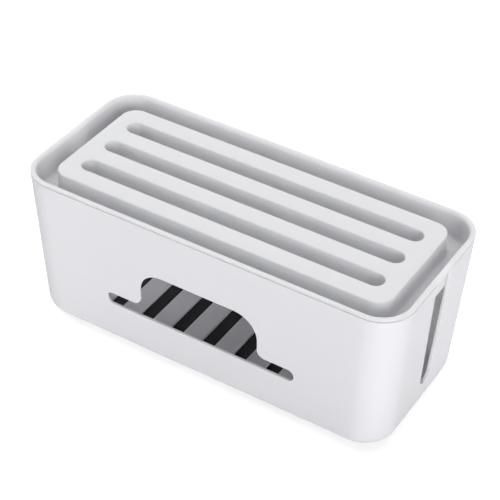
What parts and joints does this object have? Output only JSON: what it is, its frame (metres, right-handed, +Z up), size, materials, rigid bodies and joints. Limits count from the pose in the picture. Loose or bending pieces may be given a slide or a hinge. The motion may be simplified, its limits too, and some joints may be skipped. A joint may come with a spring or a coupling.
{
  "type": "cable management box",
  "caption": "Oblong box that hides a power strip: drafted tub with a front opening, end cable slots and floor vents, and a lift-off tray lid with long grooves.",
  "frame": {"origin": "centre of the footprint, on the plane that the feet stand on", "axes": "+X along the length, +Y towards the back, away from the side with the opening, +Z up"},
  "size_m": [0.32, 0.142, 0.1315],
  "materials": {
    "tub_plastic": "satin white moulding",
    "lid_plastic": "satin white moulding",
    "foot_rubber": "matt rubber"
  },
  "bodies": {
    "box": {"tub": "tub_plastic", "foot_front_left": "foot_rubber", "foot_front_right": "foot_rubber", "foot_back_left": "foot_rubber", "foot_back_right": "foot_rubber"},
    "lid": {"lid": "lid_plastic"}
  },
  "joints": [
    {"name": "lid_lift", "type": "slide", "parent": "box", "child": "lid", "axis": [0, 0, 1], "range_m": [0, 0.12]}
  ]
}
